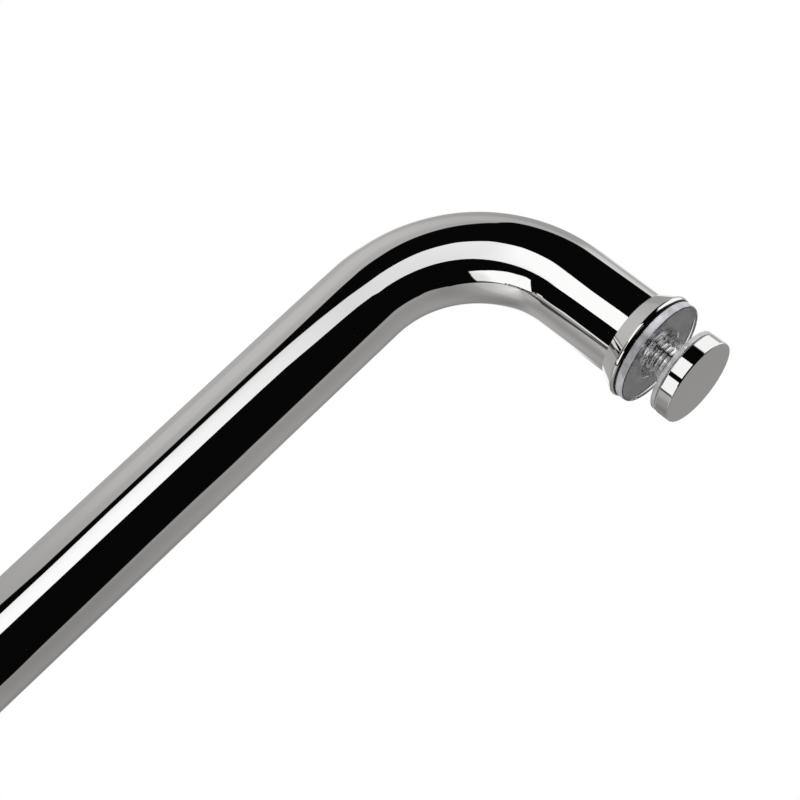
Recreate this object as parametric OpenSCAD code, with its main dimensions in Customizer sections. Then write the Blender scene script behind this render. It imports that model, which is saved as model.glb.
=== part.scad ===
// Pull handle for a glass door: a bent tube clamped through two holes in the glass.
// The origin is midway between the two holes, on the face of the glass that the
// handle stands on. The bar runs along Z on the -Y side, and the caps are on the +Y side.

/* [Bar] */
// Distance between the two holes in the glass
centres = 300; // [220:5:600]
// Distance from the glass to the bar's centreline
projection = 70; // [62:1:110]
// Outside diameter of the tube
tube_d = 25; // [20:0.5:30]
// Wall of the tube
tube_wall = 1.5; // [1:0.1:2.2]
// Radius of each bend, measured to the tube's centreline
bend_r = 38.5; // [32:0.5:46]

/* [End plug] */
// Length of the tapped plug in each tube end
plug_l = 14; // [10:0.5:20]
// Chamfer at the mouth of the plug's tapped hole
plug_chamfer = 0.6; // [0.2:0.1:1.5]

/* [Collar] */
// Length of the flared collar along the leg
collar_l = 6.2; // [5:0.1:12]
// Thickness of the collar's floor, between the tube end and the gasket
collar_floor = 1.5; // [1:0.1:3]
// Wall of the collar at its thin end
collar_lip = 0.4; // [0.2:0.05:1]
// How far the collar's rim stands out from the tube
collar_flare = 3.1; // [2:0.1:6]
// Width of the collar's rim band
collar_rim_w = 1.2; // [0.8:0.1:2]
// Radius of the rounded edges of the rim band
collar_edge_r = 0.3; // [0.1:0.05:0.4]
// Radial room between the tube and the collar's recess
collar_room = 0.05; // [0.02:0.01:0.3]
// Radial room between the stud and the hole in the collar's floor
collar_hole_room = 0.5; // [0.2:0.1:1]

/* [Gasket] */
// Thickness of the clear gasket on the handle's side
gasket_t = 2.5; // [1:0.1:4]
// How far the gasket's edge stays inside the collar's rim
gasket_inset = 0.5; // [0.2:0.1:1.5]
// Radial room between the sleeve and the gasket's hole
gasket_room = 1.2; // [0.6:0.1:2]
// Radius of the gasket's rounded edges
gasket_edge_r = 0.25; // [0.1:0.05:0.4]

/* [Stud and sleeve] */
// Diameter of the threaded stud, over its crests
stud_d = 10; // [8:0.5:12]
// Length of the stud that is screwed into the plug
stud_grip = 10; // [6:0.5:10]
// Radial room between the stud and the sleeve
sleeve_room = 0.2; // [0.1:0.05:0.5]
// Wall of the clear sleeve
sleeve_wall = 1.1; // [0.6:0.1:1.5]

/* [Cap] */
// Gap between the two gaskets, which takes the glass
glass_gap = 7; // [5:0.5:14]
// Thickness of the clear gasket on the cap's side
cap_gasket_t = 1.5; // [0.5:0.1:3]
// How far that gasket's edge stays inside the cap's edge
cap_gasket_inset = 0.2; // [0.1:0.1:1.5]
// Diameter of the disc cap
cap_d = 25; // [20:0.5:32]
// Thickness of the disc cap
cap_t = 4.5; // [4:0.1:8]
// Radius of the cap's rounded edge
cap_edge_r = 0.4; // [0.1:0.05:1]
// Metal left between the cap's tapped hole and its face
cap_face_t = 1.5; // [1:0.1:2]

/* [Hidden] */
$fn = 96;
cut = 1;

// Radii
tube_r = tube_d / 2;
bore_r = tube_r - tube_wall;
stud_r = stud_d / 2;
rim_r = tube_r + collar_flare;
sleeve_in_r = stud_r + sleeve_room;
sleeve_r = sleeve_in_r + sleeve_wall;
gasket_r = rim_r - gasket_inset;
gasket_hole_r = sleeve_r + gasket_room;
cap_r = cap_d / 2;
cap_gasket_r = cap_r - cap_gasket_inset;

// Places along a hole's axis, counted from the glass face: the handle is on the minus side
collar_front = -gasket_t;
tube_end = collar_front - collar_floor;
collar_back = collar_front - collar_l;
rim_back = collar_front - collar_rim_w;
cap_gasket_back = glass_gap;
cap_back = glass_gap + cap_gasket_t;
stud_tip = cap_back + cap_t - cap_face_t;

// Half the length of the straight bar between its bends, and the length of each straight leg
bar_half = centres / 2 - bend_r;
leg_l = projection - bend_r + tube_end;

// Puts a piece drawn along +Z from the glass face onto a hole's axis, with +Z turned to +Y
module on_axis(z_side) {
    translate([0, 0, z_side * centres / 2])
        rotate([-90, 0, 0])
            children();
}

module upper() on_axis(1) children();
module lower() on_axis(-1) children();

// Half of the tube's run, from the middle of the bar to the end of the upper leg
module half_run(r, past_end) {
    translate([0, -projection, 0])
        cylinder(r = r, h = bar_half);
    translate([0, bend_r - projection, bar_half])
        rotate([90, 0, -90])
            rotate_extrude(angle = 90)
                translate([bend_r, 0])
                    circle(r = r);
    translate([0, bend_r - projection, centres / 2])
        rotate([-90, 0, 0])
            cylinder(r = r, h = leg_l + past_end);
}

module run(r, past_end = 0) {
    half_run(r, past_end);
    mirror([0, 0, 1])
        half_run(r, past_end);
}

module bar() {
    color("gainsboro")
        difference() {
            run(tube_r);
            run(bore_r, cut);
        }
}

// A plug fixed in the tube end, flush with it, and tapped right through
module end_plug() {
    color("darkgray")
        translate([0, 0, tube_end - plug_l])
            difference() {
                cylinder(r = bore_r, h = plug_l);
                translate([0, 0, -cut])
                    cylinder(r = stud_r, h = plug_l + 2 * cut);
                translate([0, 0, plug_l - plug_chamfer])
                    cylinder(r1 = stud_r, r2 = stud_r + plug_chamfer, h = plug_chamfer);
            }
}

// Half section of the collar's outside: a cone from the thin lip to the rim band
module collar_outline() {
    edge = collar_edge_r;
    polygon([[0, collar_back],
             [tube_r + collar_room + collar_lip, collar_back],
             [rim_r - edge, rim_back - edge],
             [rim_r - edge, collar_front],
             [0, collar_front]]);
    translate([0, rim_back])
        square([rim_r, collar_rim_w - edge]);
    for (y = [rim_back, collar_front - edge])
        translate([rim_r - edge, y])
            circle(r = edge);
}

module collar() {
    color("gainsboro")
        rotate_extrude()
            difference() {
                collar_outline();
                translate([0, collar_back - cut])
                    square([tube_r + collar_room, collar_l - collar_floor + cut]);
                translate([0, collar_back])
                    square([stud_r + collar_hole_room, collar_l + cut]);
                translate([-rim_r, collar_back - cut])
                    square([rim_r, collar_l + 2 * cut]);
            }
}

// Half section of a disc with rounded edges at both ends, standing on its base
module soft_section(r, hole_r, t, edge) {
    translate([hole_r, 0])
        square([r - edge - hole_r, t]);
    translate([r - 2 * edge, edge])
        square([2 * edge, t - 2 * edge]);
    for (y = [edge, t - edge])
        translate([r - edge, y])
            circle(r = edge);
}

module gasket() {
    color("lavender", 0.5)
        translate([0, 0, -gasket_t])
            rotate_extrude()
                soft_section(gasket_r, gasket_hole_r, gasket_t, gasket_edge_r);
}

// The thread itself is too fine for the solids: the stud is drawn over its crests
module stud() {
    color("silver")
        translate([0, 0, tube_end - stud_grip])
            cylinder(r = stud_r, h = stud_tip - tube_end + stud_grip);
}

// Stands on the collar's floor, inside the gasket, and stops the cap
module sleeve() {
    color("lavender", 0.4)
        translate([0, 0, collar_front])
            difference() {
                cylinder(r = sleeve_r, h = gasket_t + glass_gap);
                translate([0, 0, -cut])
                    cylinder(r = sleeve_in_r, h = gasket_t + glass_gap + 2 * cut);
            }
}

module cap_gasket() {
    color("lavender", 0.5)
        translate([0, 0, cap_gasket_back])
            difference() {
                cylinder(r = cap_gasket_r, h = cap_gasket_t);
                translate([0, 0, -cut])
                    cylinder(r = sleeve_in_r, h = cap_gasket_t + 2 * cut);
            }
}

// A disc with a rounded front edge and a blind tapped hole in its back
module cap() {
    color("gainsboro")
        translate([0, 0, cap_back])
            rotate_extrude()
                difference() {
                    union() {
                        square([cap_r - cap_edge_r, cap_t]);
                        square([cap_r, cap_t - cap_edge_r]);
                        translate([cap_r - cap_edge_r, cap_t - cap_edge_r])
                            circle(r = cap_edge_r);
                    }
                    translate([0, -cut])
                        square([stud_r, cap_t - cap_face_t + cut]);
                }
}

bar();
upper() end_plug();  // upper_end_plug
lower() end_plug();  // lower_end_plug
upper() collar();  // upper_collar
lower() collar();  // lower_collar
upper() gasket();  // upper_gasket
lower() gasket();  // lower_gasket
upper() stud();  // upper_stud
lower() stud();  // lower_stud
upper() sleeve();  // upper_sleeve
lower() sleeve();  // lower_sleeve
upper() cap_gasket();  // upper_cap_gasket
lower() cap_gasket();  // lower_cap_gasket
upper() cap();  // upper_cap
lower() cap();  // lower_cap
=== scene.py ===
import math
from types import SimpleNamespace

import bmesh
import bpy
import numpy as np
from mathutils import Matrix, Vector


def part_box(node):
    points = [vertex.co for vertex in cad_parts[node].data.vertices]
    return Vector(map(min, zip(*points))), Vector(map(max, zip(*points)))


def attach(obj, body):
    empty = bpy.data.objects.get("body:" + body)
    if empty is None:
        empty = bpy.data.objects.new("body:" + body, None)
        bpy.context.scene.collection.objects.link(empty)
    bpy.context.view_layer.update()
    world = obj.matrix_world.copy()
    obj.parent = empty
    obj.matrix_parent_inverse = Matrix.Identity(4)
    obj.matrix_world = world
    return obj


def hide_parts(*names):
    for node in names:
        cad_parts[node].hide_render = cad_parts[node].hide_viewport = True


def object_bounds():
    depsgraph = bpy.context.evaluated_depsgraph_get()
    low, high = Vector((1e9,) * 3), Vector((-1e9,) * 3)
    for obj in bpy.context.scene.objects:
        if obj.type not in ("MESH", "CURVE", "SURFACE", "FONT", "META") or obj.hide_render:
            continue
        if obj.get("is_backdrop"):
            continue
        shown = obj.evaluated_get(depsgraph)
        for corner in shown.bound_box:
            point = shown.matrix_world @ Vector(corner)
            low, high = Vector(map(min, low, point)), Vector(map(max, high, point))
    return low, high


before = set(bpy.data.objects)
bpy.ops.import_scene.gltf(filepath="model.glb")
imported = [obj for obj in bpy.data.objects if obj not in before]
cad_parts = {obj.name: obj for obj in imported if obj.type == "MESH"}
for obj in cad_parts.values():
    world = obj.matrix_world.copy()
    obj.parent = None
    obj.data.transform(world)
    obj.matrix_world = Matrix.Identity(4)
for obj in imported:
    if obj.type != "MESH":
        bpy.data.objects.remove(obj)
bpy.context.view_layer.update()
print("frame loaded:", len(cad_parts), "nodes")

mm = 0.001
sides = {"upper": 1, "lower": -1}


# Reads a node's place round its own hole: its outer radius, and where it starts and ends along Y
def span(node):
    low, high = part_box(node)
    return (high.x - low.x) / 2, low.y, high.y


tubeRadius, barBack, tubeEnd = span("bar")
boreRadius = span("upper_end_plug")[0]  # the plug fills the bore
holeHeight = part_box("bar")[1].z - tubeRadius
barDepth = barBack + tubeRadius


# Materials

class Plug:
    # One output socket. Arithmetic between plugs and numbers adds the Math node that works it out.
    def __init__(self, sheet, socket):
        self.sheet = sheet
        self.socket = socket

    def __add__(self, other):
        return self.sheet.maths("ADD", self, other)

    def __sub__(self, other):
        return self.sheet.maths("SUBTRACT", self, other)

    def __mul__(self, other):
        return self.sheet.maths("MULTIPLY", self, other)

    def __truediv__(self, other):
        return self.sheet.maths("DIVIDE", self, other)

    def __radd__(self, other):
        return self.sheet.maths("ADD", other, self)

    def __rsub__(self, other):
        return self.sheet.maths("SUBTRACT", other, self)

    def __rmul__(self, other):
        return self.sheet.maths("MULTIPLY", other, self)

    def __rtruediv__(self, other):
        return self.sheet.maths("DIVIDE", other, self)

    def __abs__(self):
        return self.sheet.maths("ABSOLUTE", self)

    def floorAt(self, least):
        return self.sheet.maths("MAXIMUM", self, least)

    def ceilingAt(self, most):
        return self.sheet.maths("MINIMUM", self, most)


class NodeSheet:
    # A node tree. add() makes one node, puts in its settings first, and then its values and links.
    def __init__(self, tree):
        tree.nodes.clear()
        self.tree = tree

    def add(self, kind, settings, inputs, output=0):
        node = self.tree.nodes.new(kind)
        for name, value in settings.items():
            if name == "stops":
                self.setStops(node.color_ramp, value)
            else:
                setattr(node, name, value)
        for name, value in inputs.items():
            if isinstance(value, Plug):
                self.tree.links.new(value.socket, node.inputs[name])
            else:
                node.inputs[name].default_value = value
        if not node.outputs:
            return node
        return Plug(self, node.outputs[output])

    def setStops(self, ramp, stops):
        while len(ramp.elements) < len(stops):
            ramp.elements.new(0.5)  # its place is set below
        for element, (place, shade) in zip(ramp.elements, stops):
            element.position = place
            element.color = (*shade, 1) if isinstance(shade, tuple) else (shade, shade, shade, 1)

    def maths(self, operation, first, second=0.0):
        return self.add("ShaderNodeMath", {"operation": operation}, {0: first, 1: second})

    def place(self):
        return self.add("ShaderNodeTexCoord", {}, {}, "Object")

    def other(self, plug, output):
        return Plug(self, plug.socket.node.outputs[output])

    def split(self, vector):
        node = self.add("ShaderNodeSeparateXYZ", {}, {0: vector}).socket.node
        return [Plug(self, socket) for socket in node.outputs]

    # How far (x, y) lies from (0, 0): the root of x x + y y
    def distance(self, x, y):
        return self.maths("SQRT", x * x + y * y)

    # 0 below the edge and 1 above it, with a smooth slope between them that is `soft` wide
    def rise(self, value, edge, soft):
        share = (value - edge) / soft + 0.5
        return self.add("ShaderNodeMapRange", {"interpolation_type": "SMOOTHSTEP"}, {"Value": share})

    # 1 between two edges and 0 outside them
    def between(self, value, low, high, soft):
        return self.rise(value, low, soft) * (1 - self.rise(value, high, soft))

    # A value that goes through a list of (place, level) pairs, straight between them. The levels differ.
    def follow(self, value, pairs):
        places, levels = zip(*pairs)
        low, high = min(places), max(places)
        least, most = min(levels), max(levels)
        stops = [((place - low) / (high - low), (level - least) / (most - least)) for place, level in pairs]
        ramp = self.add("ShaderNodeValToRGB", {"stops": stops}, {"Fac": (value - low) / (high - low)})
        return ramp * (most - least) + least

    def noise(self, vector, scale, detail, rough=0.5):
        return self.add("ShaderNodeTexNoise", {}, {"Vector": vector, "Scale": scale, "Detail": detail,
                                                   "Roughness": rough})

    def blend(self, share, first, second):
        return self.add("ShaderNodeMix", {}, {"Factor": share, "A": first, "B": second})

    def mixColour(self, share, first, second):
        first, second = [(*shade, 1) if isinstance(shade, tuple) else shade for shade in (first, second)]
        return self.add("ShaderNodeMix", {"data_type": "RGBA"}, {0: share, 6: first, 7: second}, 2)

    def stretched(self, vector, scale):
        return self.add("ShaderNodeVectorMath", {"operation": "MULTIPLY"}, {0: vector, 1: scale})


def newMaterial(name):
    material = bpy.data.materials.new(name)
    material.use_nodes = True
    return material, NodeSheet(material.node_tree)


def surfaceOutput(sheet, shader):
    sheet.add("ShaderNodeOutputMaterial", {}, {"Surface": shader})


# In a material's dictionary an edge is (place, softness), and a noise is (scale, detail) or (scale, detail,
# roughness). The values of a noise lie round this middle.
noiseMiddle = 0.5


# A point's place round its own hole: x, how far it is above the hole's axis, and its place along Y
def roundHole(sheet):
    x, y, z = sheet.split(sheet.place())
    return x, abs(z) - holeHeight, y


# One metal all over, with a fine relief where one is given as (height, depth)
def steelOutput(sheet, colour, roughness, relief=None):
    inputs = {"Base Color": colour, "Metallic": 1.0, "Roughness": roughness}
    if relief:
        height, depth = relief
        inputs["Normal"] = sheet.add("ShaderNodeBump", {}, {"Strength": 1.0, "Distance": depth,
                                                            "Height": height})
    surfaceOutput(sheet, sheet.add("ShaderNodeBsdfPrincipled", {}, inputs))


# The roughness of a mirror polish with faint wiping marks in it
def wipedRoughness(sheet, look):
    haze = sheet.noise(sheet.stretched(sheet.place(), look["wipeStretch"]), *look["wipe"])
    return look["roughness"] + (haze - noiseMiddle).floorAt(0.0) * look["haze"]


# Steel polished to a mirror, with a faint unevenness where the dictionary gives a ripple
def polishedSteel(name, look):
    material, sheet = newMaterial(name)
    relief = None
    if "ripple" in look:
        relief = (sheet.noise(sheet.place(), *look["ripple"]), look["rippleDepth"])
    steelOutput(sheet, (*look["colour"], 1), wipedRoughness(sheet, look), relief)
    return material


# The collar's steel: polished outside, turned and darker with lighter blotches where the gasket lies on it,
# and painted shade in the narrow groove beside the gasket: a near-black colour stands in for the shadow there
def collarSteel(name, look):
    material, sheet = newMaterial(name)
    polish, floor, grooveShade = look["steel"], look["floor"], look["grooveShade"]
    x, up, y = roundHole(sheet)
    along = y - tubeEnd
    radius = sheet.distance(x, up)
    onFloor = sheet.rise(along, *floor["from"]) * (1 - sheet.rise(radius, *floor["radius"]))
    # Painted shade: past this depth and radius the groove takes a near-black colour in place of its shadow
    paintedGrooveShade = sheet.rise(along, *grooveShade["from"]) * sheet.rise(radius, *grooveShade["radius"])
    # Lighter, rougher blotches spread by noise over the darker floor
    blotch = sheet.rise(sheet.noise(sheet.place(), *floor["blotch"]), *floor["blotchEdge"])
    rings = sheet.noise(sheet.add("ShaderNodeCombineXYZ", {}, {"X": radius}), *floor["rings"])
    onBlotch = floor["roughness"] + blotch * floor["blotchRoughness"]
    roughness = sheet.blend(onFloor, wipedRoughness(sheet, polish), onBlotch)
    floorColour = sheet.mixColour(blotch, floor["colour"], floor["blotchColour"])
    colour = sheet.mixColour(onFloor, polish["colour"], floorColour)
    colour = sheet.mixColour(paintedGrooveShade, colour, grooveShade["shade"])
    steelOutput(sheet, colour, roughness, (rings * onFloor, floor["ringDepth"]))
    return material


# Cut steel: fine rings round the hole's axis, as a lathe or a die leaves them
def cutSteel(name, look):
    material, sheet = newMaterial(name)
    rings = sheet.noise(sheet.stretched(sheet.place(), look["ringStretch"]), *look["rings"])
    relief = (rings, look["ringDepth"]) if "ringDepth" in look else None
    roughness = look["roughness"] + (rings - noiseMiddle) * look["roughnessSpread"]
    steelOutput(sheet, (*look["colour"], 1), roughness, relief)
    return material


# Light passes through this shader
def clearShader(sheet, look, roughness):
    return sheet.add("ShaderNodeBsdfPrincipled", {}, {
        "Base Color": (*look["colour"], 1), "Roughness": roughness, "IOR": look["ior"],
        "Transmission Weight": 1.0})


# Clear plastic, the same all over
def clearPlastic(name, look):
    material, sheet = newMaterial(name)
    surfaceOutput(sheet, clearShader(sheet, look, look["roughness"]))
    return material


# Clear plastic with faint clouds, which has a milky outer side. Light passes through it a little blurred,
# and the milk carries painted light and shade: it is lighter on some sides of the hole than on others.
def milkyPlastic(name, look):
    material, sheet = newMaterial(name)
    x, up, y = roundHole(sheet)
    cloud = sheet.noise(sheet.place(), *look["cloud"])
    roughness = look["roughness"] + cloud * look["cloudRoughness"]
    turn = sheet.maths("ARCTAN2", up, x) * math.degrees(1)
    # Painted light and shade: the milk's colour follows the angle round the hole
    milk = sheet.mixColour(sheet.follow(turn, look["milkPaintedLight"]), (0.0, 0.0, 0.0), look["milk"])
    milky = sheet.add("ShaderNodeBsdfPrincipled", {}, {
        "Base Color": milk, "Roughness": roughness, "IOR": look["ior"]})
    outside = look["milkSide"] + (cloud - noiseMiddle) * look["milkSpread"]
    share = sheet.blend(sheet.rise(sheet.distance(x, up), *look["sideFrom"]), look["milkInside"], outside)
    clear = clearShader(sheet, look, roughness)
    surfaceOutput(sheet, sheet.add("ShaderNodeMixShader", {}, {0: share, 1: clear, 2: milky}))
    return material


# Surfaces

# A new object at the origin
def newObject(name, data):
    thing = bpy.data.objects.new(name, data)
    bpy.context.scene.collection.objects.link(thing)
    return thing


# Joins a grid of points into quads. The rows run along the shape and each row is a closed loop; with
# endless rows, the last row joins the first. Points at a pole, nearer to each other than `doubles`, merge,
# and the faces are turned outwards if the volume inside them comes out negative.
def gridObject(name, points, endless, material, doubles=1e-8):
    rows, columns = points.shape[:2]
    here = np.arange(rows * columns).reshape(rows, columns)
    ahead = np.roll(here, -1, axis=0)
    if not endless:
        here, ahead = here[:-1], ahead[:-1]
    quads = np.stack([here, np.roll(here, -1, axis=1), np.roll(ahead, -1, axis=1), ahead], axis=-1)
    quads = quads.reshape(-1, 4)
    flat = points.reshape(-1, 3)
    a, b, c, d = (flat[quads[:, corner]] for corner in range(4))
    volume = np.einsum("ij,ij->i", a, np.cross(b, c)).sum() + np.einsum("ij,ij->i", a, np.cross(c, d)).sum()
    if volume < 0:
        quads = quads[:, ::-1]
    mesh = bpy.data.meshes.new(name)
    mesh.vertices.add(len(flat))
    mesh.vertices.foreach_set("co", flat.astype(np.float32).ravel())
    mesh.loops.add(quads.size)
    mesh.loops.foreach_set("vertex_index", quads.astype(np.int32).ravel())
    mesh.polygons.add(len(quads))
    mesh.polygons.foreach_set("loop_start", np.arange(0, quads.size, 4, dtype=np.int32))
    mesh.polygons.foreach_set("use_smooth", np.full(len(quads), True))
    mesh.update(calc_edges=True)
    work = bmesh.new()
    work.from_mesh(mesh)
    bmesh.ops.remove_doubles(work, verts=work.verts, dist=doubles)
    work.to_mesh(mesh)
    work.free()
    mesh.materials.append(material)
    return newObject(name, mesh)


# Rounds the corners of an outline. Each corner is (across, along, radius), and its arc touches both its
# sides: it starts radius / tan(half the corner's angle) before the corner, and turns about the point
# radius / sin(half the angle) along the corner's bisector. A close point beside each arc keeps flats flat.
def softOutline(corners, closed, steps=8, hold=0.03 * mm):
    count = len(corners)
    points = []
    for index, (across, along, radius) in enumerate(corners):
        corner = np.array((across, along))
        if radius == 0 or (not closed and index in (0, count - 1)):
            points.append(corner[None])
            continue
        back = np.array(corners[index - 1][:2]) - corner
        on = np.array(corners[(index + 1) % count][:2]) - corner
        back /= np.linalg.norm(back)
        on /= np.linalg.norm(on)
        half = math.acos(back @ on) / 2
        toArc = radius / math.tan(half)
        centre = corner + (back + on) / np.linalg.norm(back + on) * radius / math.sin(half)
        first = (corner + back * toArc - centre) / radius
        last = (corner + on * toArc - centre) / radius
        turn = math.pi - 2 * half
        share = np.linspace(0, 1, steps + 1)[:, None]
        arc = np.sin((1 - share) * turn) * first + np.sin(share * turn) * last
        arc = centre + radius * arc / math.sin(turn)
        points += [(arc[0] + back * hold)[None], arc, (arc[-1] + on * hold)[None]]
    return np.concatenate(points)


# Turns an outline round a hole's axis: each point (across, along) becomes a ring of that radius,
# (across cos t, along, across sin t), raised to the hole's height
def turned(outline, height, around):
    angle = np.linspace(0, 2 * np.pi, around, endpoint=False)
    across = outline[:, :1]
    along = np.repeat(outline[:, 1:], around, axis=1)
    return np.stack([across * np.cos(angle), along, height + across * np.sin(angle)], axis=-1)


# Hands a piece over in place of its CAD node
def fit(piece, node):
    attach(piece, "root")
    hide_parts(node)


# The bar
barLook = {
    "bendRadius": 38.5 * mm,
    "around": 176,
    "legRows": 10,
    "bendRows": 72,
    "halfBarRows": 21,
    "endHold": 0.05 * mm,
    "steel": {"colour": (0.93, 0.93, 0.925), "roughness": 0.018, "haze": 0.05, "wipe": (60, 4.0),
              "wipeStretch": (1, 1, 0.2)},
}


# The tube's centreline as (y, z), from one end to the other, with the direction at each point that stands
# square to it in the plane of the handle. The upper half is a straight leg, a quarter circle and half the
# bar, and the lower half is the same turned over. A close point beside each end keeps the end flat.
def centreline(look):
    bend = look["bendRadius"]
    legTop = barDepth + bend
    barTop = holeHeight - bend
    leg = np.linspace(tubeEnd, legTop, look["legRows"], endpoint=False)
    leg = np.insert(leg, 1, tubeEnd - look["endHold"])
    turn = np.linspace(0, np.pi / 2, look["bendRows"], endpoint=False)
    run = np.linspace(barTop, 0, look["halfBarRows"])
    place = np.concatenate([
        np.stack([leg, np.full_like(leg, holeHeight)], axis=1),
        np.stack([legTop - bend * np.sin(turn), barTop + bend * np.cos(turn)], axis=1),
        np.stack([np.full_like(run, barDepth), run], axis=1)])
    square = np.concatenate([
        np.stack([np.zeros_like(leg), np.ones_like(leg)], axis=1),
        np.stack([-np.sin(turn), np.cos(turn)], axis=1),
        np.stack([-np.ones_like(run), np.zeros_like(run)], axis=1)])
    return [np.concatenate([half, half[-2::-1] * (1, -1)]) for half in (place, square)]


# A circle carried along the centreline: centre + radius (cos t across + sin t square). The outside runs
# from end to end, the bore comes back, and the two join at the tube's ends.
def makeBar(look):
    place, square = centreline(look)
    angle = np.linspace(0, 2 * np.pi, look["around"], endpoint=False)

    def skin(radius):
        across = np.broadcast_to(radius * np.cos(angle), (len(place), len(angle)))
        inPlane = place[:, None] + radius * np.sin(angle)[None, :, None] * square[:, None]
        return np.concatenate([across[..., None], inPlane], axis=-1)

    points = np.concatenate([skin(tubeRadius), skin(boreRadius)[::-1]])
    steel = polishedSteel("polishedTube", look["steel"])
    fit(gridObject("barTube", points, True, steel), "bar")


makeBar(barLook)
print("bar made")


# The collars
collarLook = {
    "around": 240,
    "wallRoom": 0.05 * mm,
    "lip": 0.4 * mm,
    "edge": 0.12 * mm,
    "crest": 1.18 * mm,
    "swell": 1.2 * mm,
    "roll": [(0, 30, 0.9 * mm), (30, 45, 1.45 * mm), (45, 62, 1.0 * mm), (62, 90, 0.2 * mm)],
    "dish": 0.6 * mm,
    "holeRadius": 5.5 * mm,
    "steel": {"colour": (0.9, 0.9, 0.89), "roughness": 0.025, "haze": 0.05, "wipe": (90, 4.0),
              "wipeStretch": (1, 1, 1)},
    "floor": {"from": (0.9 * mm, 0.02 * mm), "radius": (14.8 * mm, 0.1 * mm), "colour": (0.2, 0.205, 0.2),
              "roughness": 0.12, "blotch": (160, 3.0, 0.6), "blotchEdge": (0.54, 0.2),
              "blotchColour": (0.44, 0.45, 0.44), "blotchRoughness": 0.12, "rings": (9000, 1.0),
              "ringDepth": 0.004 * mm},
    # Painted shade in the groove beside the gasket, not the steel's own colour
    "grooveShade": {"from": (1.05 * mm, 0.1 * mm), "radius": (14.2 * mm, 0.2 * mm), "shade": (0.03, 0.03, 0.03)},
}


# Arcs that follow each other smoothly. Each is (first angle, last angle, radius), and a point on it is
# start + radius (cos t - cos first, sin t - sin first).
def rolled(start, arcs, steps=8):
    points = [np.array([start])]
    for first, last, radius in arcs:
        angle = np.radians(np.linspace(first, last, steps + 1))[1:, None]
        turn = np.concatenate([np.cos(angle) - math.cos(math.radians(first)),
                               np.sin(angle) - math.sin(math.radians(first))], axis=1)
        points.append(points[-1][-1] + radius * turn)
    return np.concatenate(points)


# A cone from the thin lip touches the round swell under the rim's crest. Seen from the lip, the swell's
# centre lies at (out, along), so the cone's slope is atan(out / along) + asin(swell / distance). Past its
# crest the rim rolls over to the front face, where the gasket leaves a narrow groove beside it.
def makeCollars(look):
    steel = collarSteel("polishedCollar", look)
    swell = look["swell"]
    for side, sign in sides.items():
        rim, back, front = span(side + "_collar")
        recess = tubeRadius + look["wallRoom"]
        lip = recess + look["lip"]
        crest = (rim, front - look["crest"])
        out, along = rim - swell - lip, crest[1] - back
        slope = math.atan2(out, along) + math.asin(swell / math.hypot(out, along))
        cone = rolled(crest, [(0, -math.degrees(slope), swell)])[:0:-1]
        roll = rolled(crest, look["roll"])
        edge = look["edge"]
        inside = softOutline([
            (roll[-1][0], roll[-1][1], 0),
            (roll[-1][0] - look["dish"], front, edge),
            (look["holeRadius"], front, edge),
            (look["holeRadius"], tubeEnd, edge),
            (recess, tubeEnd, 0),
            (recess, back, edge),
            (lip, back, edge),
            (cone[0][0], cone[0][1], 0)], False)
        outline = np.concatenate([cone, roll, inside[1:-1]])
        points = turned(outline, sign * holeHeight, look["around"])
        fit(gridObject(side + "Collar", points, True, steel), side + "_collar")


makeCollars(collarLook)
print("collars made")


# The gaskets on the glass's near side
gasketLook = {
    "around": 220,
    "holeRadius": 7.5 * mm,
    "edge": 0.45 * mm,
    "backEdge": 0.4 * mm,
    "holeEdge": 0.15 * mm,
    "backRoom": 0.02 * mm,
    "plastic": {"colour": (0.96, 0.96, 0.985), "ior": 1.45, "roughness": 0.03, "cloud": (400, 3.0),
                "cloudRoughness": 0.03, "milk": (0.8, 0.8, 0.86), "milkInside": 0.03, "milkSide": 0.62,
                "milkSpread": 0.9, "sideFrom": (15.0 * mm, 0.05 * mm),
                # Painted light by angle round the hole: a painted highlight from -8 to 6 degrees, painted
                # shade from -52 to -16
                "milkPaintedLight": [(-180, 0.8), (-75, 0.8), (-52, 0.52), (-16, 0.5), (-8, 1.0), (6, 1.0),
                              (14, 0.72), (50, 0.9), (180, 0.8)]},
}


def makeGaskets(look):
    plastic = milkyPlastic("clearGasket", look["plastic"])
    for side, sign in sides.items():
        rim, back, front = span(side + "_gasket")
        back += look["backRoom"]
        outline = softOutline([
            (look["holeRadius"], back, look["holeEdge"]),
            (rim, back, look["backEdge"]),
            (rim, front, look["edge"]),
            (look["holeRadius"], front, look["holeEdge"])], True)
        points = turned(outline, sign * holeHeight, look["around"])
        fit(gridObject(side + "Gasket", points, True, plastic), side + "_gasket")


makeGaskets(gasketLook)
print("gaskets made")


# The threaded studs
studLook = {
    "pitch": 1.5 * mm,
    "depth": 0.92 * mm,
    "sharpness": 1.3,
    "rowsPerPitch": 20,
    "around": 96,
    "chamfer": 0.9 * mm,
    "steel": {"colour": (0.8, 0.795, 0.78), "roughness": 0.06, "roughnessSpread": 0.04, "rings": (400, 2.0),
              "ringStretch": (1, 8, 1)},
}


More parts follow.
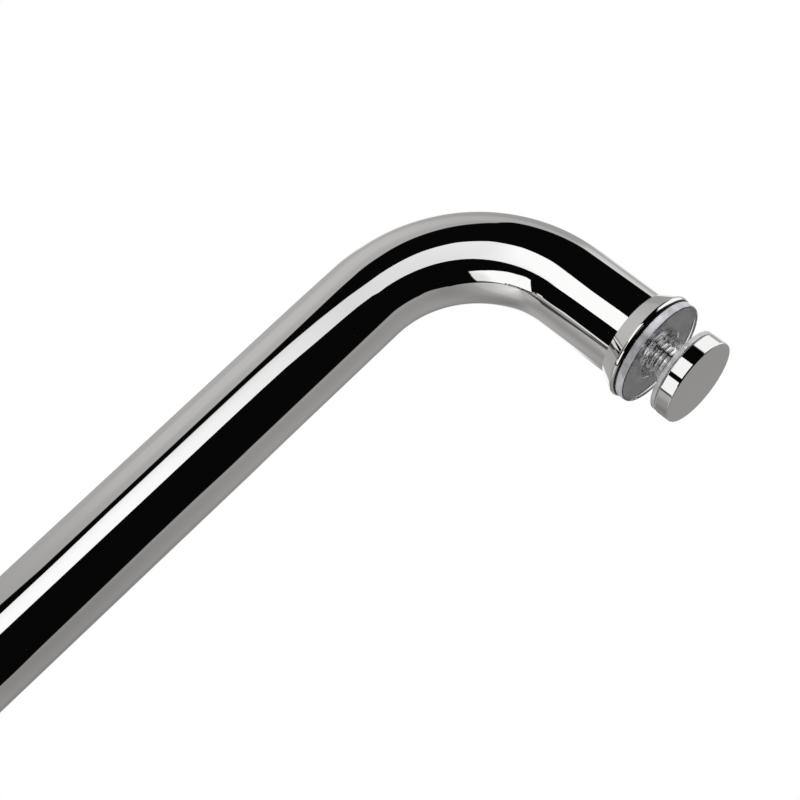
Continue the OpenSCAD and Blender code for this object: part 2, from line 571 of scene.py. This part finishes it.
# The radius at angle t and height y is the root plus depth ((1 + cos(2 pi phase)) / 2) ^ sharpness, with
# phase = y / pitch - t / turn, so the ridge climbs one pitch each turn. Near the ends it stays under a
# cone, and a row of no radius closes each tip.
def makeStuds(look):
    steel = cutSteel("threadSteel", look["steel"])
    for side, sign in sides.items():
        crest, back, front = span(side + "_stud")
        rows = int((front - back) / look["pitch"] * look["rowsPerPitch"])
        along = np.linspace(back, front, rows)[:, None]
        angle = np.linspace(0, 2 * np.pi, look["around"], endpoint=False)[None]
        phase = along / look["pitch"] - angle / (2 * np.pi)
        ridge = ((1 + np.cos(2 * np.pi * phase)) / 2) ** look["sharpness"]
        radius = crest - look["depth"] * (1 - ridge)
        toEnd = np.minimum(along - back, front - along)
        radius = np.pad(np.minimum(radius, crest - look["chamfer"] + toEnd), ((1, 1), (0, 0)))
        along = np.pad(along, ((1, 1), (0, 0)), mode="edge") + 0 * angle
        up = sign * holeHeight + radius * np.sin(angle)
        points = np.stack([radius * np.cos(angle), along, up], axis=-1)
        fit(gridObject(side + "Stud", points, False, steel), side + "_stud")


makeStuds(studLook)
print("studs made")


# The clear sleeves round the studs
sleeveLook = {
    "around": 144,
    "wall": 1.1 * mm,
    "edge": 0.15 * mm,
    "endRoom": 0.02 * mm,
    "plastic": {"colour": (0.97, 0.97, 0.985), "ior": 1.45, "roughness": 0.0},
}


def makeSleeves(look):
    plastic = clearPlastic("clearSleeve", look["plastic"])
    for side, sign in sides.items():
        outside, back, front = span(side + "_sleeve")
        inside = outside - look["wall"]
        back, front = back + look["endRoom"], front - look["endRoom"]
        outline = softOutline([(inside, back, look["edge"]), (outside, back, look["edge"]),
                               (outside, front, look["edge"]), (inside, front, look["edge"])], True)
        points = turned(outline, sign * holeHeight, look["around"])
        fit(gridObject(side + "Sleeve", points, True, plastic), side + "_sleeve")


makeSleeves(sleeveLook)
print("sleeves made")


# The caps and the thin gaskets behind them
capLook = {
    "around": 240,
    "edge": 0.4 * mm,
    "backEdge": 0.5 * mm,
    "faceThickness": 1.5 * mm,
    "tapRadius": 5.0 * mm,
    "tapEdge": 0.1 * mm,
    "steel": {"colour": (0.86, 0.86, 0.85), "roughness": 0.025, "haze": 0.05, "wipe": (90, 4.0),
              "wipeStretch": (1, 1, 1), "ripple": (120, 1.0), "rippleDepth": 0.002 * mm},
}
capGasketLook = {
    "around": 240,
    "edge": 0.2 * mm,
    "holeRadius": 5.2 * mm,
    "frontRoom": 0.02 * mm,
    "plastic": {"colour": (0.96, 0.96, 0.985), "ior": 1.45, "roughness": 0.03, "cloud": (400, 3.0),
                "cloudRoughness": 0.03, "milk": (0.76, 0.76, 0.79), "milkInside": 0.05, "milkSide": 0.5,
                "milkSpread": 0.6, "sideFrom": (12.25 * mm, 0.05 * mm),
                # Painted shade: the milk darkens a little towards one side of the hole
                "milkPaintedLight": [(-180, 0.9), (180, 1.0)]},
}


def makeCap(look, side, sign, steel):
    rim, back, front = span(side + "_cap")
    tapEnd = front - look["faceThickness"]
    outline = softOutline([
        (0, front, 0),
        (rim, front, look["edge"]),
        (rim, back, look["backEdge"]),
        (look["tapRadius"], back, look["tapEdge"]),
        (look["tapRadius"], tapEnd, look["tapEdge"]),
        (0, tapEnd, 0)], False)
    points = turned(outline, sign * holeHeight, look["around"])
    fit(gridObject(side + "Cap", points, False, steel), side + "_cap")


def makeCapGasket(look, side, sign, plastic):
    rim, back, front = span(side + "_cap_gasket")
    front -= look["frontRoom"]
    outline = softOutline([(look["holeRadius"], back, look["edge"]), (rim, back, look["edge"]),
                           (rim, front, look["edge"]), (look["holeRadius"], front, look["edge"])], True)
    points = turned(outline, sign * holeHeight, look["around"])
    fit(gridObject(side + "CapGasket", points, True, plastic), side + "_cap_gasket")


capSteel = polishedSteel("polishedCap", capLook["steel"])
capPlastic = milkyPlastic("clearCapGasket", capGasketLook["plastic"])
for side, sign in sides.items():
    makeCap(capLook, side, sign, capSteel)
    makeCapGasket(capGasketLook, side, sign, capPlastic)
print("caps and their gaskets made")


# The end plugs keep their CAD solids
plugLook = {
    "steel": {"colour": (0.5, 0.5, 0.49), "roughness": 0.3, "roughnessSpread": 0.2, "rings": (300, 2.0),
              "ringStretch": (1, 6, 1), "ringDepth": 0.01 * mm},
}


def dressPlugs(look):
    steel = cutSteel("plugSteel", look["steel"])
    for side in sides:
        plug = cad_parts[side + "_end_plug"]
        plug.data.materials.clear()
        plug.data.materials.append(steel)


dressPlugs(plugLook)
print("plugs dressed")


# The studio

# A light tent that only reflections see, and whatever is seen through plastic. Its paint is worked out at
# each spot from x, y and height in metres, from the azimuth round the tent's upright axis, in degrees from
# +X towards +Y, and from how the ray came: its length, and how often it met steel and plastic. In the
# dictionaries below an edge is (place, softness), or a list of (place, edge) pairs that it goes through.
tentLook = {
    "radius": 0.2,
    "axisY": -0.05,
    "halfLength": 0.0875,
    "around": 96,
    "rows": 48,
    "tint": [(0.0, (0.0, 0.0, 0.0)), (0.33, (0.338, 0.328, 0.32)), (0.75, (0.75, 0.745, 0.74)),
             (1.0, (1.0, 1.0, 1.0))],
}


# A capsule: rings whose radius follows a half circle at each end, with its centre at halfLength above or
# below the middle
def tentPoints(look):
    angle = np.linspace(0, 2 * np.pi, look["around"], endpoint=False)[None]
    lift = np.linspace(-np.pi / 2, np.pi / 2, look["rows"])[:, None]
    radius = look["radius"] * np.cos(lift)
    height = look["radius"] * np.sin(lift) + look["halfLength"] * np.sign(lift)
    x, y = radius * np.cos(angle), look["axisY"] + radius * np.sin(angle)
    return np.stack([x, y, height + 0 * angle], axis=-1)


# The wall behind runs from azimuth 0 round to the seam, and the left wall from there on, with a lighter
# band beside the dark front. High up both take their level from x, and the left wall has a bright place.
wallLook = {
    "start": (0.0, 1.0),
    "seam": (-170, 16),
    "back": [(-0.28, 0.75), (-0.24, 0.66), (-0.2, 0.56), (-0.15, 0.49), (-0.11, 0.36), (-0.07, 0.32),
             (-0.03, 0.28), (0.005, 0.26), (0.035, 0.26), (0.1, 0.3), (0.2, 0.3)],
    "backShare": [(88, 1.06), (101, 1.06), (108, 0.95), (125, 0.98), (152, 1.08), (161, 1.06), (169, 0.98),
                  (177, 0.9), (185, 0.8), (200, 0.8)],
    "left": [(-0.27, 0.44), (-0.24, 0.42), (-0.2, 0.33), (-0.14, 0.28), (-0.06, 0.33), (0.0, 0.38),
             (0.05, 0.4), (0.12, 0.43), (0.2, 0.43), (0.235, 0.38), (0.26, 0.35), (0.29, 0.35)],
    "band": {"azimuth": (-92, -60), "soft": 16, "from": (0.04, 0.08), "lift": 0.09},
    "top": {"side": (-0.085, 0.02), "from": (0.235, 0.02),
            "level": [(-0.125, 1.04), (-0.097, 0.95), (-0.08, 0.66), (-0.063, 0.43), (-0.052, 0.41),
                      (-0.04, 0.45), (-0.024, 0.6), (-0.005, 0.66), (0.02, 0.75)]},
    "glow": {"left": (-170, 5), "soft": 16, "level": 1.0,
             "right": [(0.085, -190), (0.105, -166), (0.133, -150), (0.157, -129), (0.183, -112),
                       (0.22, -119), (0.25, -137), (0.262, -152), (0.28, -175)]},
}


def wallPaint(sheet, spot, look):
    band, top, glow = look["band"], look["top"], look["glow"]
    started = sheet.rise(spot.azimuth, *look["start"])
    around = spot.azimuth + (1 - started) * 360
    back = sheet.follow(spot.height, look["back"]) * sheet.follow(around, look["backShare"])
    onBand = sheet.between(spot.azimuth, *band["azimuth"], band["soft"])
    onBand = onBand * sheet.rise(spot.height, *band["from"])
    left = sheet.follow(spot.height, look["left"]) + onBand * band["lift"]
    wall = sheet.blend(started + (1 - sheet.rise(spot.azimuth, *look["seam"])), left, back)
    onTop = sheet.rise(spot.y, *top["side"]) * sheet.rise(spot.height, *top["from"])
    wall = sheet.blend(onTop, wall, sheet.follow(spot.x, top["level"]))
    glowEnd = sheet.rise(spot.azimuth, sheet.follow(spot.height, glow["right"]), glow["soft"])
    onGlow = sheet.rise(spot.azimuth, *glow["left"]) * (1 - glowEnd)
    return sheet.blend(onGlow * (1 - onTop), wall, glow["level"])


# The dark front lies between its left and right edges. Low down and high up, its left edge is a slanted
# line instead.
frontLook = {
    "level": 0.0022,
    "left": [(-0.205, -78), (-0.1, -78), (-0.02, -50), (0.02, -41), (0.07, -42.5), (0.126, -43.5),
             (0.156, -45.5), (0.178, -42), (0.211, -46), (0.235, -50), (0.249, -54), (0.262, -65),
             (0.275, -90)],
    "right": [(-0.03, 100), (-0.005, 101), (0.005, 99), (0.03, 97.5), (0.06, 95), (0.08, 94.7), (0.1, 97),
              (0.12, 99), (0.165, 98), (0.3, 98)],
    "soft": 1.8,
    "low": {"under": (-0.205, 0.01), "y": -0.1875, "lean": 3.0, "most": 0.048, "from": -0.15, "fall": 0.7,
            "soft": 0.005},
    "high": {"over": (0.1, 0.02), "edge": (0.0005, 0.006), "lean": 0.45, "front": 0.09, "frontLean": 0.35},
}


def frontShare(sheet, spot, look):
    low, high = look["low"], look["high"]
    leftSide = sheet.rise(spot.azimuth, sheet.follow(spot.height, look["left"]), look["soft"])
    rightSide = sheet.rise(spot.azimuth, sheet.follow(spot.height, look["right"]), look["soft"])
    most = low["most"] - (spot.y - low["from"]).floorAt(0.0) * low["fall"]
    lowEdge = ((spot.y - low["y"]) * low["lean"]).ceilingAt(most)
    lowSide = sheet.rise(spot.x - lowEdge, 0.0, low["soft"])
    dark = sheet.blend(sheet.rise(spot.height, *low["under"]), lowSide, leftSide) * (1 - rightSide)
    frontLean = (spot.y - high["front"]).floorAt(0.0) * high["frontLean"]
    lean = spot.behind.ceilingAt(0.0) * high["lean"] + frontLean
    highSide = sheet.rise(spot.x + lean, *high["edge"])
    return dark * (1 - sheet.rise(spot.height, *high["over"]) * (1 - highSide))


# A thin light line below with a dark one beside it, where the two walls meet
keelLook = {
    "under": (-0.2, 0.02),
    "y": -0.156,
    "lean": 2.9,
    "soft": 0.012,
    "dark": (-0.03, 0.012),
    "darkLevel": 0.07,
    "light": (0.012, 0.12),
    "lightLevel": 0.8,
}


def keelPaint(sheet, spot, look, level, dark):
    across = spot.x - (spot.y - look["y"]) * look["lean"]
    below = (1 - sheet.rise(spot.height, *look["under"])) * (1 - dark)
    level = sheet.blend(sheet.between(across, *look["dark"], look["soft"]) * below, level, look["darkLevel"])
    return sheet.blend(sheet.between(across, *look["light"], look["soft"]) * below, level, look["lightLevel"])


# The light below, which stops along a straight side and has a peak in its upper edge. The cap, further off
# than the bend, sees more of it.
lowLightLook = {
    "capReach": [(-0.27, 0.425), (-0.203, 0.385), (-0.149, 0.3505), (-0.089, 0.3078)],
    "capSoft": 0.004,
    "side": {"near": -0.122, "far": -0.143, "lean": 0.17, "soft": 0.004},
    "top": {"near": [(-25, -0.168), (-12, -0.168), (-7, -0.158), (5, -0.165), (27, -0.145), (41, -0.117),
                     (48, -0.085), (53, -0.06), (62, -0.09), (75, -0.12), (90, -0.147)],
            "far": -0.092, "soft": 0.012},
    "left": (-0.004, 0.018),
    "level": [(-0.15, 1.04), (0.09, 1.04), (0.12, 0.83), (0.16, 0.76)],
}


def lowLight(sheet, spot, look, level):
    side, top = look["side"], look["top"]
    fromCap = sheet.rise(spot.rayLength - sheet.follow(spot.height, look["capReach"]), 0.0, look["capSoft"])
    sideEdge = spot.x * side["lean"] + sheet.blend(fromCap, side["near"], side["far"])
    topEdge = sheet.blend(fromCap, sheet.follow(spot.azimuth, top["near"]), top["far"])
    lit = (1 - sheet.rise(spot.height, topEdge, top["soft"])) * sheet.rise(spot.y, sideEdge, side["soft"])
    lit = lit * sheet.rise(spot.x, *look["left"])
    return sheet.blend(lit, level, sheet.follow(spot.y, look["level"]))


# The light above
highLightLook = {
    "height": (0.235, 0.02),
    "side": (-0.003, 0.006),
    "lean": 0.8,
    "far": (0.11, 0.02),
    "front": (0.112, 0.012),
    "back": (-0.05, 0.03),
    "level": 1.04,
}


def highLight(sheet, spot, look, level):
    beside = spot.behind + spot.x.ceilingAt(0.0) * look["lean"]
    lit = sheet.rise(spot.height, *look["height"]) * sheet.rise(beside, *look["side"])
    lit = lit * (1 - sheet.rise(spot.behind, *look["far"]))
    lit = lit * (1 - sheet.rise(spot.x, *look["front"])) * sheet.rise(spot.x, *look["back"])
    return sheet.blend(lit, level, look["level"])


# What the steel sees by way of other steel: a light line with darkness beside it
twiceLook = {
    "under": (-0.14, 0.03),
    "lean": 0.5,
    "middle": 0.29,
    "stretch": 3.4,
    "right": (0.11, 0.03),
    "left": (-0.02, 0.02),
    "dark": [(-0.28, 0.12), (-0.26, 0.07), (-0.25, 0.05), (-0.24, 0.05)],
    "light": [(-0.27, 0.45), (-0.262, 0.42), (-0.25, 0.33), (-0.246, 0.3), (-0.241, 0.75)],
}


def seenTwice(sheet, spot, look, level):
    again = (spot.steelCount - 1).floorAt(0.0).ceilingAt(1.0)
    again = again * (1 - sheet.rise(spot.height + spot.x.ceilingAt(0.0) * look["lean"], *look["under"]))
    along = spot.x + (spot.rayLength - look["middle"]) * look["stretch"]
    onLine = sheet.rise(along, *look["right"]) * sheet.rise(spot.x, *look["left"])
    dark, light = sheet.follow(spot.height, look["dark"]), sheet.follow(spot.height, look["light"])
    return sheet.blend(again, level, sheet.blend(onLine, dark, light))


# What is seen through plastic has a plainer studio round it, so that the thread stays readable
throughLook = {
    "front": (-38, 55),
    "soft": 40,
    "side": [(-180, 0.33), (-150, 0.3), (-115, 0.03), (-50, 0.01), (60, 0.01), (100, 0.04), (125, 0.33),
             (180, 0.33)],
    "level": [(-0.28, 0.4), (-0.2, 0.03), (-0.13, 0.8), (-0.05, 1.9), (0.03, 1.4), (0.08, 0.03), (0.18, 0.02),
              (0.22, 1.4), (0.28, 2.0)],
}


def seenThrough(sheet, spot, look, level):
    inFront = sheet.between(spot.azimuth, *look["front"], look["soft"])
    side, front = sheet.follow(spot.azimuth, look["side"]), sheet.follow(spot.height, look["level"])
    return sheet.blend(spot.plasticCount.ceilingAt(1.0), level, sheet.blend(inFront, side, front))


# Rays that met no steel find the tent white. The colour follows the level up to 1, and the strength takes
# what is over 1.
def tentMaterial(look):
    material, sheet = newMaterial("tentPaint")
    x, y, height = sheet.split(sheet.place())
    behind = y - look["axisY"]
    steelCount = sheet.add("ShaderNodeLightPath", {}, {}, "Glossy Depth")
    spot = SimpleNamespace(
        x=x, y=y, behind=behind, height=height, azimuth=sheet.maths("ARCTAN2", behind, x) * math.degrees(1),
        steelCount=steelCount, plasticCount=sheet.other(steelCount, "Transmission Depth"),
        rayLength=sheet.other(steelCount, "Ray Length"))
    dark = frontShare(sheet, spot, frontLook)
    level = sheet.blend(dark, wallPaint(sheet, spot, wallLook), frontLook["level"])
    level = keelPaint(sheet, spot, keelLook, level, dark)
    level = lowLight(sheet, spot, lowLightLook, level)
    level = highLight(sheet, spot, highLightLook, level)
    level = seenTwice(sheet, spot, twiceLook, level)
    level = seenThrough(sheet, spot, throughLook, level)
    level = sheet.blend(steelCount.ceilingAt(1.0), 1.0, level)
    tinted = sheet.add("ShaderNodeValToRGB", {"stops": look["tint"]}, {"Fac": level})
    light = sheet.add("ShaderNodeEmission", {}, {"Color": tinted, "Strength": level.floorAt(1.0)})
    surfaceOutput(sheet, light)
    return material


# Stage that only reflections see, and that isn't sampled as a lamp
def reflectedOnly(stagePiece):
    stagePiece.active_material.cycles.emission_sampling = "NONE"
    stagePiece.visible_camera = False
    stagePiece.visible_diffuse = False
    stagePiece.visible_shadow = False
    stagePiece.visible_volume_scatter = False
    stagePiece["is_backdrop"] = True


reflectedOnly(gridObject("lightTent", tentPoints(tentLook), False, tentMaterial(tentLook)))
print("light tent made")


# A few flat faces between these points
def flatObject(name, points, faces, material):
    mesh = bpy.data.meshes.new(name)
    mesh.from_pydata(points, [], faces)
    mesh.materials.append(material)
    return newObject(name, mesh)


# A narrow light on the camera's side that follows the handle's own bend. Its outer and inner edges are
# (y, z) in millimetres. It is a little dimmer beside the bend. Only steel nearer than bendReach sees it, or
# nearer than rimReach past rimFrom. Past the dark gap in it only the cap does, which is beyond capReach.
stripLook = {
    "offset": 31.25 * mm,
    "outer": [(9, 148.5), (-8.8, 148.4), (-9, 148.4), (-17.2, 148.2), (-17.4, 148.2), (-19, 148.2),
              (-28, 147.4), (-42, 147.9), (-49, 146.5), (-55.5, 142.8), (-60.4, 137), (-63.6, 130),
              (-65.7, 123.3), (-67.3, 119.5), (-72.1, 110.5), (-75.8, 100.4), (-78.4, 90), (-80.2, 75),
              (-80.3, 62), (-79.6, 25), (-78.4, 5), (-78, -165)],
    "inner": [(9, 126.5), (-8.8, 126.2), (-9, 104), (-17.2, 104), (-17.4, 126), (-22, 125.9), (-35, 124.4),
              (-41.5, 122.9), (-44.3, 123.3), (-46, 121.7), (-49.7, 120.1), (-53.5, 116.9), (-56.3, 111.3),
              (-57.7, 105.5), (-59.5, 95.4), (-61.7, 85), (-62.3, 74.5), (-62.4, 62), (-62.4, 25), (-62.4, 5),
              (-62.4, -80), (-62.4, -165)],
    "level": [(-0.17, 1.03), (0.03, 1.03), (0.0435, 1.01), (0.085, 0.86), (0.11, 0.73), (0.122, 0.78),
              (0.13, 0.83), (0.14, 0.87), (0.15, 0.87)],
    "edgeLevel": [(-0.0805, 0.8), (-0.077, 0.92), (-0.071, 1.0), (-0.06, 1.0)],
    "leg": {"edge": (-0.0489, 0.008), "middle": 0.1374, "lean": 0.43, "level": 1.04},
    "outerEdge": (-0.0798, 0.0015),
    "rimFrom": (-0.0175, 0.0002),
    "bendReach": 0.035,
    "rimReach": 0.044,
    "gapStart": (-0.0052, 0.0003),
    "gapEnd": (-0.0012, 0.0003),
    "capReach": [(0.12, 0.0305), (0.1288, 0.0263), (0.1348, 0.0229), (0.1399, 0.0208), (0.1444, 0.0197),
                 (0.15, 0.0194)],
    "capSoft": 0.0005,
}


def stripMaterial(look):
    material, sheet = newMaterial("stripLight")
    x, y, z = sheet.split(sheet.place())
    leg = look["leg"]
    onLeg = sheet.rise(y + (z - leg["middle"]) * leg["lean"], *leg["edge"])
    level = sheet.follow(z, look["level"]) * sheet.follow(y, look["edgeLevel"])
    level = sheet.blend(onLeg, level, leg["level"])
    rayLength = sheet.add("ShaderNodeLightPath", {}, {}, "Ray Length")
    longest = sheet.blend(sheet.rise(y, *look["rimFrom"]), look["bendReach"], look["rimReach"])
    seen = sheet.maths("LESS_THAN", rayLength, longest) * sheet.rise(y, *look["outerEdge"])
    toCap = sheet.rise(rayLength, sheet.follow(z, look["capReach"]), look["capSoft"])
    forCap = sheet.rise(y, *look["gapEnd"]) * toCap
    seen = seen * (1 - sheet.rise(y, *look["gapStart"]) * (1 - forCap))
    light = sheet.add("ShaderNodeEmission", {}, {"Color": (1, 1, 1, 1), "Strength": level})
    clear = sheet.add("ShaderNodeBsdfTransparent", {}, {})
    surfaceOutput(sheet, sheet.add("ShaderNodeMixShader", {}, {0: seen, 1: clear, 2: light}))
    return material


# The two edges joined by quads, in the plane x = offset
def makeStrip(look):
    edges = np.array([look["outer"], look["inner"]], dtype=float) * mm
    count = edges.shape[1]
    flat = edges.reshape(-1, 2)
    points = np.column_stack([np.full(len(flat), look["offset"]), flat])
    quads = [(row, row + 1, count + row + 1, count + row) for row in range(count - 1)]
    reflectedOnly(flatObject("bendLight", points.tolist(), quads, stripMaterial(look)))


makeStrip(stripLook)
print("strip light made")


# The floor is seen from above only. It fades to nothing away from the handle, so that it has no edge and
# no horizon.
floorLook = {
    "drop": 4.0 * mm,
    "half": 6.0,
    "colour": (0.93, 0.93, 0.93),
    "fade": (0.35, 1.3),
}


def floorMaterial(look):
    material, sheet = newMaterial("paleFloor")
    x, y, z = sheet.split(sheet.place())
    near, far = look["fade"]
    away = sheet.rise(sheet.distance(x, y), (near + far) / 2, far - near)
    fromBelow = sheet.add("ShaderNodeNewGeometry", {}, {}, "Backfacing")
    hidden = away + fromBelow * (1 - away)
    paint = sheet.add("ShaderNodeBsdfDiffuse", {}, {"Color": (*look["colour"], 1)})
    clear = sheet.add("ShaderNodeBsdfTransparent", {}, {})
    surfaceOutput(sheet, sheet.add("ShaderNodeMixShader", {}, {0: hidden, 1: paint, 2: clear}))
    return material


def makeFloor(look):
    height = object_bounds()[0].z - look["drop"]
    half = look["half"]
    corners = [(-half, -half, height), (half, -half, height), (half, half, height), (-half, half, height)]
    floor = flatObject("floor", corners, [(0, 1, 2, 3)], floorMaterial(look))
    floor.visible_glossy = False
    floor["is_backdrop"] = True


makeFloor(floorLook)
print("floor made")


# One soft lamp, and a white world that lights the object a little less than it shows
lightLook = {
    "place": (0.35, -0.45, 0.8),
    "size": 0.6,
    "power": 4.0,
    "worldLight": 0.8,
}


def makeLights(look):
    lamp = bpy.data.lights.new("softLamp", "AREA")
    lamp.shape = "DISK"
    lamp.size = look["size"]
    lamp.energy = look["power"]
    holder = newObject("softLamp", lamp)
    holder.location = look["place"]
    holder.rotation_euler = (-Vector(look["place"])).to_track_quat("-Z", "Y").to_euler()
    holder.visible_glossy = False

    world = bpy.data.worlds.new("studio")
    world.use_nodes = True
    sheet = NodeSheet(world.node_tree)
    diffuse = sheet.add("ShaderNodeLightPath", {}, {}, "Is Diffuse Ray")
    strength = 1 - diffuse * (1 - look["worldLight"])
    background = sheet.add("ShaderNodeBackground", {}, {"Color": (1, 1, 1, 1), "Strength": strength})
    sheet.add("ShaderNodeOutputWorld", {}, {"Surface": background})
    bpy.context.scene.world = world


makeLights(lightLook)
print("lights made")


# The camera looks up at the handle's upper end. It is rolled so that the bar runs up to the right.
cameraLook = {
    "aim": (0.0008, -0.0418, 0.0953),
    "azimuth": 24.14,
    "elevation": -16.67,
    "distance": 0.5831,
    "roll": -46.11,
    "lens": 100.8,
    "sensor": 36.0,
    "nearest": 0.01,
}


# A positive roll turns the camera about its own line of sight, clockwise in the picture
def makeCamera(look):
    data = bpy.data.cameras.new("camera")
    data.lens = look["lens"]
    data.sensor_width = look["sensor"]
    data.clip_start = look["nearest"]
    azimuth, elevation, roll = (math.radians(look[name]) for name in ("azimuth", "elevation", "roll"))
    back = Vector((math.cos(azimuth) * math.cos(elevation), math.sin(azimuth) * math.cos(elevation),
                   math.sin(elevation)))
    level = (-back).to_track_quat("-Z", "Y").to_matrix()
    camera = newObject("camera", data)
    camera.location = Vector(look["aim"]) + back * look["distance"]
    camera.rotation_euler = (level @ Matrix.Rotation(-roll, 3, "Z")).to_euler()
    bpy.context.scene.camera = camera


makeCamera(cameraLook)
bpy.context.scene.view_settings.view_transform = "Standard"
print("camera made")
